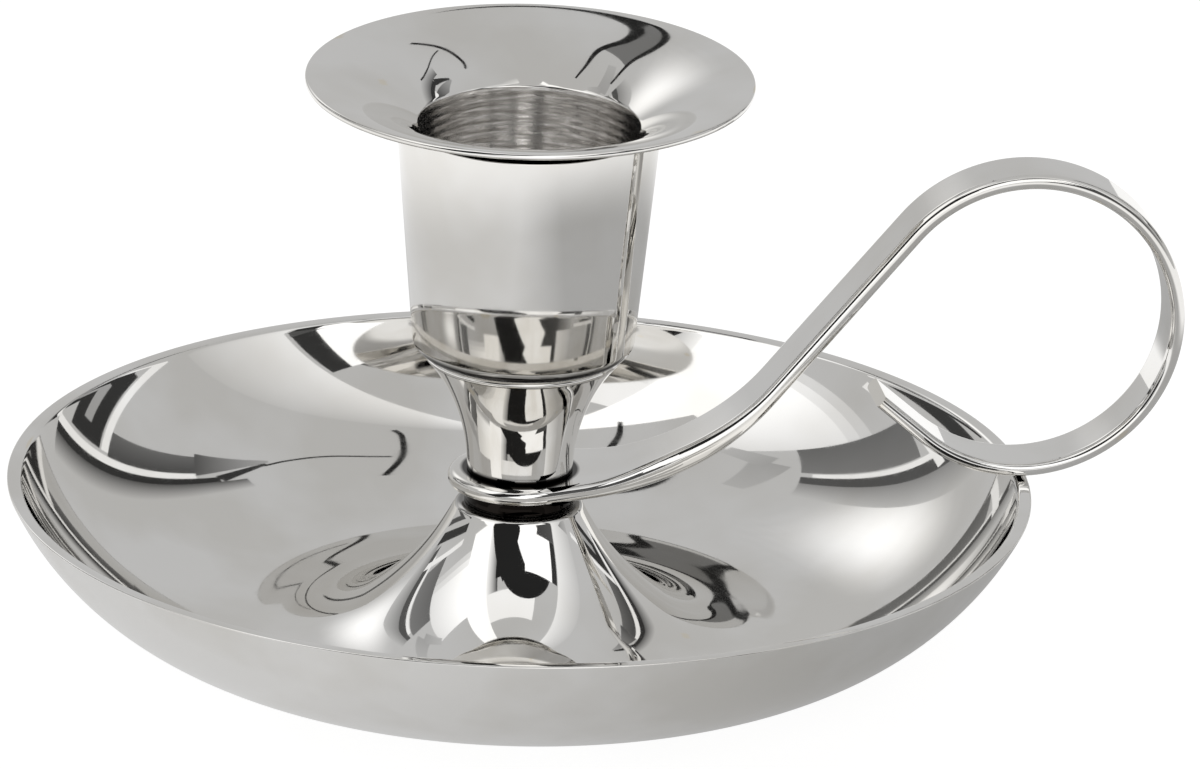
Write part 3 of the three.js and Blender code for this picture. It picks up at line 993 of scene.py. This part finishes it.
@dataclass
class LightTent:
    """A dome of translucent paper round the object, with a soft window, cards, battens and slim booms.

    Distances are in metres.

    Args:
        axis: The stem's place along X, in metres.
        away: Heading of the direction straight away from the camera, in radians from +X.
    """

    axis: float
    away: float
    height: float = 0.015
    radius: float = 1.5
    spacing: float = 0.01
    dome: Card = Card(0, 360, -2, 90, 0.58)
    cards: tuple[Card, ...] = (
        Card(-56, -10, 12, 48, 1.3, soft=True),
        Card(92, 118, 10, 84, 0.62, 1.0),
        Card(92, 119, 4, 23, 0.5, 0.12),
        Card(119, 155, 4, 33, 0.1, 0.06),
        Card(150, 226, 58, 71, 1.1),
        Card(-134, -106, 27, 84, 1.35),
        Card(-106, -72, 39, 62, 1.35, 0.9),
        Card(-106, -72, 36, 39, 1.1, 0.8),
        Card(-106, -72, 33, 36, 0.85, 0.7),
        Card(-150, -134, 8, 58, 0.03, 1.15),
        Card(-72, -58, 24, 50, 0.16, 0.22),
        Card(-57.5, -55.5, 18, 48, 1.0),
        Card(-55.5, -51.5, 14, 50, 0.1),
        Card(-51.5, -43, 10, 50, 0.3, 0.58),
        Card(38, 44, 6, 50, 0.58, 0.12),
        Card(44, 46.6, 6, 46, 0.04),
        Card(46.6, 49, 6, 42, 1.0),
        Card(49, 57, 22, 42, 0.08, 0.16),
        Card(50, 86, 20, 22, 1.0),
        Card(50, 76, 10, 19.5, 0.04),
        Card(55, 68, 13, 15.5, 0.4),
        Card(167, 213, 33, 52, 0.02),
        Card(126, 167, 33, 50, 1.35),
        Card(119, 126, 33, 50, 0.04),
    )
    # The oval hangs behind the last two cards
    disc: Disc = Disc(167, 50, 27, 12, 0.02)
    disc_place: float = 1.5
    seams: tuple[Seam, ...] = (
        Seam((-40, 57.5), (-63, 55), 3.0, 0.5, 7.0, 0.42),
        Seam((-63, 55), (-72, 62), 5.0, 0.42, 3.0, 0.54),
        Seam((45.3, 46), (52, 54), 2.6, 0.04, 0.8),
        Seam((53, 42), (53.5, 54.5), 8.0, 0.1, 0.9, 0.4),
        Seam((-88, 25), (-52, 19), 2.2, 1.0),
        Seam((-88, 20), (-48, 9), 3.0, 0.05),
        Seam((-80, 14), (-48, 5), 1.6, 0.1),
        Seam((-172, 4), (150, 37), 38.0, 1.35, 32.0),
        Seam((-136, 4), (-174, 44), 30.0, 0.02, 30.0),
    )
    booms: tuple[Boom, ...] = (
        Boom(((-1, 134), (-6, 122), (-12, 109), (-20, 87), (-25, 66)), (2.0, 17.0), 0.2),
        Boom(((-1, 133), (-4, 120), (-9, 106), (-15, 84), (-18, 59), (-24, 38), (-27, 24)), (3.4, 1.4), 0.02),
        Boom(((-2, 135), (-8, 125), (-19, 102), (-32, 72), (-48, 51)), (2.4, 2.4), 0.02),
        Boom(((20, 98), (22, 70), (27, 48), (31, 41)), (1.4, 1.8), 0.02),
        Boom(((58, 94), (51, 84), (40, 75), (24, 72)), (1.8, 1.4), 0.03),
    )
    boom_height: float = 0.15
    boom_spacing: float = 0.0002
    boom_steps: int = 7
    batten_steps: int = 16
    disc_facets: int = 64
    facet_degrees: float = 3.0
    # A place this near to straight up has no heading
    zenith: float = 1e-6
    # A share over this is a place just to the left of a card's first edge, after nearly a full turn
    wrapped: float = 1.5

    def __post_init__(self) -> None:
        """Starts an empty tent."""
        self.mesh = bmesh.new()
        self.level = self.mesh.verts.layers.float.new("light")
        self.centre = Vector((self.axis, 0.0, self.height))

    def sight(self, right: float, up: float) -> Vector:
        """Gives the unit direction so many degrees to the right of straight away and so many up."""
        heading, rise = self.away - math.radians(right), math.radians(up)
        return Vector((math.cos(rise) * math.cos(heading), math.cos(rise) * math.sin(heading),
                       math.sin(rise)))

    def sweep(self, geom: list, axis: Vector, angle: float, steps: int) -> list[Corner]:
        """Sweeps points or edges about the tent's centre.

        Args:
            geom: What is swept.
            axis: The direction of the axis.
            angle: The angle in radians.
            steps: The number of pieces.

        Returns:
            The points that were swept and those that this made.
        """
        before = set(self.mesh.verts).difference(geom)
        bmesh.ops.spin(self.mesh, geom=geom, cent=self.centre, axis=axis, dvec=(0, 0, 0), angle=angle,
                       steps=steps, use_merge=False, use_duplicate=False)
        return [v for v in self.mesh.verts if v not in before]

    def fade(self, card: Card, ray: Vector) -> float:
        """Finds the light of a soft card, which falls off from its middle to the dome's own light.

        Args:
            card: The card.
            ray: A place on it, as seen from the tent's centre.

        Returns:
            The light there.
        """
        right = math.degrees(self.away - math.atan2(ray.y, ray.x))
        up = math.degrees(math.asin(ray.z / ray.length))
        across = (right - (card.left + card.right) / 2) / ((card.right - card.left) / 2)
        above = (up - (card.low + card.high) / 2) / ((card.high - card.low) / 2)
        falloff = max(0.0, 1 - across ** 2 - above ** 2) ** 2
        return self.dome.light + (card.light - self.dome.light) * falloff

    def hang(self, card: Card, radius: float) -> None:
        """Hangs a card.

        Args:
            card: The card.
            radius: Its distance from the tent's centre.
        """
        wide, tall = card.right - card.left, card.high - card.low
        turn = math.radians(wide)
        begin = self.sight(card.left, 0)
        last = card.light if card.light_right is None else card.light_right
        seed = self.mesh.verts.new(self.centre + radius * self.sight(card.left, card.low))
        edge = self.sweep([seed], self.sight(card.left + 90, 0), math.radians(tall),
                          max(2, int(tall / self.facet_degrees)))
        upright = edge + list({e for v in edge for e in v.link_edges})
        steps = max(1, int(wide / self.facet_degrees))
        for vertex in self.sweep(upright, Vector((0, 0, -1)), turn, steps):
            ray = vertex.co - self.centre
            flat, share = ray.to_2d(), 0.0
            if flat.length > self.zenith:
                share = (begin.to_2d().angle_signed(flat, 0.0) % (2 * math.pi)) / turn
            share = min(share, 1.0) if share < self.wrapped else 0.0
            light = card.light + (last - card.light) * share
            vertex[self.level] = self.fade(card, ray) if card.soft else light

    def pin(self, disc: Disc, radius: float) -> None:
        """Pins an oval sheet.

        Args:
            disc: The sheet.
            radius: Its distance from the tent's centre.
        """
        ray, side = self.sight(disc.right, disc.up), self.sight(disc.right + 90, 0)
        turn = Matrix((side, ray.cross(side), ray)).transposed().to_4x4()
        wide, tall = math.tan(math.radians(disc.wide)), math.tan(math.radians(disc.tall))
        size = Matrix.Diagonal((wide, tall, 1.0, 1.0))
        made = bmesh.ops.create_circle(self.mesh, cap_ends=True, segments=self.disc_facets, radius=radius,
                                       matrix=Matrix.Translation(self.centre + radius * ray) @ turn @ size)
        for vertex in made["verts"]:
            vertex[self.level] = disc.light

    def batten(self, seam: Seam, radius: float) -> None:
        """Fixes a batten.

        Args:
            seam: The batten.
            radius: Its distance from the tent's centre.
        """
        begin, end = self.sight(*seam.begin), self.sight(*seam.end)
        axis = begin.cross(end).normalized()
        half = radius * math.radians(seam.width) / 2
        ratio = 1.0 if seam.width_end is None else seam.width_end / seam.width
        last = seam.light if seam.light_end is None else seam.light_end
        middle = self.centre + radius * begin
        first, other = [self.mesh.verts.new(middle + axis * half * way) for way in (-1, 1)]
        edge = self.mesh.edges.new((first, other))
        length = begin.angle(end)
        for vertex in self.sweep([first, other, edge], axis, length, self.batten_steps):
            ray = vertex.co - self.centre
            aside = ray.dot(axis)
            share = (ray - axis * aside).angle(begin) / length
            vertex[self.level] = seam.light + (last - seam.light) * share
            vertex.co += axis * aside * (ratio - 1) * share

    def smooth(self, places: tuple[Span, ...]) -> list[Vector]:
        """Draws a smooth curve through places.

        Args:
            places: The places, in order.

        Returns:
            More places along the same way.
        """
        marks = [Vector(place) for place in places]
        marks = [2 * marks[0] - marks[1], *marks, 2 * marks[-1] - marks[-2]]
        curve = [marks[1]]
        for a, b, c, d in zip(marks, marks[1:], marks[2:], marks[3:]):
            # Handles of a sixth of the way between the neighbours make the stretches join smoothly
            near, far = b + (c - a) / 6, c - (d - b) / 6
            curve += interpolate_bezier(b, near, far, c, self.boom_steps)[1:]
        return curve

    def reach_over(self, boom: Boom, drop: float) -> None:
        """Fixes a boom over the object.

        Args:
            boom: The boom.
            drop: How far it hangs under the boom height.
        """
        right, behind = self.sight(90, 0), self.sight(0, 0)
        foot = Vector((self.centre.x, self.centre.y, self.boom_height - drop))
        path = [foot + (right * place.x + behind * place.y) * MM for place in self.smooth(boom.places)]
        steps = len(path) - 1
        edge = self.mesh.edges.new([self.mesh.verts.new(path[0]) for _ in range(2)])
        for step, place in enumerate(path):
            if step:
                grown = bmesh.ops.extrude_edge_only(self.mesh, edges=[edge])["geom"]
                edge = next(e for e in grown if isinstance(e, bmesh.types.BMEdge))
            ahead = path[min(step + 1, steps)] - path[max(step - 1, 0)]
            width = boom.widths[0] + (boom.widths[1] - boom.widths[0]) * step / steps
            side = ahead.normalized().cross(Vector((0, 0, 1))) * width * MM / 2
            for vertex, way in zip(edge.verts, (-1, 1)):
                vertex.co = place + side * way
                vertex[self.level] = boom.light

    def build(self) -> None:
        """Builds the tent; each later sheet hangs a little further in."""
        for place, card in enumerate((self.dome, *self.cards)):
            self.hang(card, self.radius - self.spacing * place)
        self.pin(self.disc, self.radius - self.spacing * (len(self.cards) - self.disc_place))
        for place, seam in enumerate(self.seams, len(self.cards) + 1):
            self.batten(seam, self.radius - self.spacing * place)
        for place, boom in enumerate(self.booms):
            self.reach_over(boom, self.boom_spacing * place)
        material, tree = blank_material("lit paper")
        light = add_node(tree, "ShaderNodeAttribute", settings={"attribute_name": "light"})
        glow = add_node(tree, "ShaderNodeEmission", Strength=light.outputs["Fac"])
        add_node(tree, "ShaderNodeOutputMaterial", glow.outputs[0])
        tent = set_up("light_tent", self.mesh, material)
        tent.visible_camera = False


@dataclass
class PaperFloor:
    """White paper, which shows white to the camera and pale to the metal over its own shading.

    Distances are in metres.
    """

    colour: str = "#e7e6e4"
    half_size: float = 6.0
    sink: float = 0.0002
    shown_light: float = 1.3
    open_light: float = 1.33
    open_reach: Span = (0.112, 0.16)
    # The window stands on the left, so the paper under the object is brighter there
    shade_reach: Span = (-0.04, 0.035)
    shade_light: Span = (0.8, 0.42)
    glow_share: float = 0.7

    def build(self) -> None:
        """Lays the floor."""
        mesh = bmesh.new()
        bmesh.ops.create_grid(mesh, x_segments=1, y_segments=1, size=self.half_size)
        material, tree = blank_material("white paper")
        add = partial(add_node, tree)
        path = add("ShaderNodeLightPath")
        mirror = add("ShaderNodeMath", path.outputs["Is Glossy Ray"], path.outputs["Is Transmission Ray"],
                     settings={"operation": "ADD"})
        place = add("ShaderNodeTexCoord").outputs["Object"]
        reach = add("ShaderNodeVectorMath", place, settings={"operation": "LENGTH"})
        split = add("ShaderNodeSeparateXYZ", place)
        shaded = add("ShaderNodeMapRange", split.outputs["X"], *self.shade_reach, *self.shade_light)
        lit = add("ShaderNodeMapRange", reach.outputs["Value"], *self.open_reach, shaded.outputs[0],
                  self.open_light, settings={"interpolation_type": "SMOOTHSTEP"})
        pale = add("ShaderNodeMath", mirror.outputs[0], lit.outputs[0], settings={"operation": "MULTIPLY"})
        level = add("ShaderNodeMath", path.outputs["Is Camera Ray"], self.shown_light, pale.outputs[0],
                    settings={"operation": "MULTIPLY_ADD"})
        paper = add("ShaderNodeBsdfDiffuse", linear(self.colour))
        bright = add("ShaderNodeEmission", WHITE, level.outputs[0])
        shown = add("ShaderNodeMixShader", self.glow_share, paper.outputs[0], bright.outputs[0])
        add("ShaderNodeOutputMaterial", shown.outputs[0])
        floor = set_up("floor", mesh, material)
        floor.location.z = -self.sink


@dataclass
class Studio:
    """The camera at the photograph's angle, the paper floor, the light tent and the light outside it.

    Distances are in metres, apart from the height that the camera aims at.
    """

    distance: float = 3.0
    azimuth: float = math.radians(-10.0)
    elevation: float = math.radians(20.2)
    roll: float = math.radians(1.63)
    photo_pixels: Span = (1200.0, 769.0)
    pixels_per_mm: float = 9.65
    aim_pixel: Span = (519.3, 484.8)
    aim_height_mm: float = 16.83
    sensor: float = 36.0
    sight_end: float = 50.0
    outside_light: float = 1.0

    def camera(self) -> None:
        """Places the camera at the photograph's angle."""
        pixel = MM / self.pixels_per_mm
        lens = bpy.data.cameras.new("camera")
        lens.sensor_width = self.sensor
        lens.lens = self.sensor * self.distance / (self.photo_pixels[0] * pixel)
        lens.clip_end = self.sight_end
        back = Vector((math.sin(self.azimuth) * math.cos(self.elevation),
                       -math.cos(self.azimuth) * math.cos(self.elevation), math.sin(self.elevation)))
        turn = (-back).to_track_quat("-Z", "Y").to_matrix() @ Matrix.Rotation(self.roll, 3, "Z")
        aside = (self.photo_pixels[0] / 2 - self.aim_pixel[0]) * pixel
        above = (self.aim_pixel[1] - self.photo_pixels[1] / 2) * pixel
        target = Vector((stem_axis(), 0, self.aim_height_mm * MM)) + turn @ Vector((aside, above, 0))
        place = bpy.data.objects.new("camera", lens)
        place.matrix_world = Matrix.Translation(target + back * self.distance) @ turn.to_4x4()
        bpy.context.scene.collection.objects.link(place)
        bpy.context.scene.camera = place

    def world(self) -> None:
        """Sets the light outside the tent."""
        world = bpy.data.worlds.new("studio")
        bpy.context.scene.world = world
        world.use_nodes = True
        world.node_tree.nodes.clear()
        light = add_node(world.node_tree, "ShaderNodeBackground", WHITE, self.outside_light)
        add_node(world.node_tree, "ShaderNodeOutputWorld", light.outputs[0])

    def build(self) -> None:
        """Builds the studio."""
        bpy.context.scene.view_settings.view_transform = "Standard"
        self.camera()
        PaperFloor().build()
        LightTent(stem_axis(), math.pi / 2 + self.azimuth).build()
        self.world()


def main() -> None:
    """Builds the pieces in order, then the studio, and logs each piece's face count or finish."""
    logging.basicConfig(level=logging.INFO, format="%(message)s")
    plate = SilverPlate().material(stem_axis())
    turned = TurnedMetal().material(stem_axis())
    steel = FastenerSteel().material()
    pan, nozzle = DripPan(), CandleNozzle()
    pan.build(plate)
    FootSpacer().build(plate)
    StripHandle(pan).build(plate)
    Stem().build(plate)
    CandleCup(nozzle).build(plate)
    nozzle.build(plate, turned)
    for node in ("tie_bolt", "head_washer", "pan_washer", "lock_washer", "hex_nut"):
        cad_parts[node].data.materials.clear()
        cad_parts[node].data.materials.append(steel)
        LOG.info("%s: the solid itself, in %s", node, steel.name)
    Studio().build()


if __name__ == "__main__":
    main()
